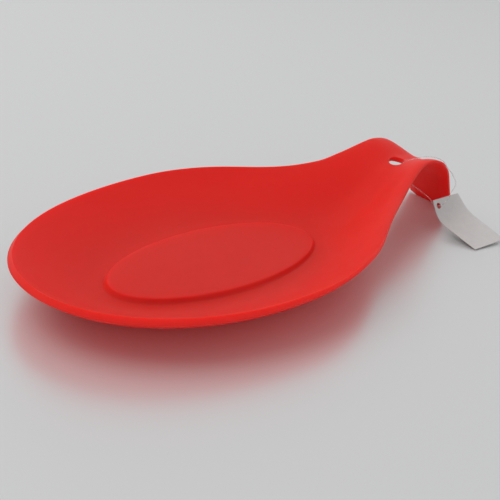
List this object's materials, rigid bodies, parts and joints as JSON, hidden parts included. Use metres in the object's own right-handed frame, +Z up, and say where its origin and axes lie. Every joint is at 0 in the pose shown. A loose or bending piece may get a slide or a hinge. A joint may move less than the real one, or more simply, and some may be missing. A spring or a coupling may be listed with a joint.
{
  "type": "spoon rest",
  "caption": "Spoon rest with an almond-shaped bowl, a raised oval plateau and a grooved handle that bends down to a foot, with a blank paper tag on a snap-in loop.",
  "frame": {"origin": "bottom centre of the silicone moulding's bounding box, on the table", "axes": "+X from the tip of the bowl to the end of the handle, +Z up, +Y to the left of +X"},
  "size_m": [0.2121, 0.1048, 0.0318],
  "materials": {
    "silicone": "satin",
    "paper": "matte",
    "clear_nylon": "gloss"
  },
  "bodies": {
    "rest": {"silicone_rest": "silicone"},
    "loop": {"tag_loop": "clear_nylon", "loop_socket": "clear_nylon", "loop_barb": "clear_nylon"},
    "tag": {"hang_tag": "paper"}
  },
  "joints": [
    {"name": "loop_turn", "type": "hinge", "parent": "rest", "child": "loop", "pos_m": [0.06979, 0, 0.02495], "axis": [-0.2641, 0, 0.9645], "range_deg": [0, 8]},
    {"name": "tag_turn", "type": "hinge", "parent": "loop", "child": "tag", "pos_m": [0.08, -0.01984, 0.01022], "axis": [0, -0.8011, 0.5986], "range_deg": [0, 10]}
  ]
}
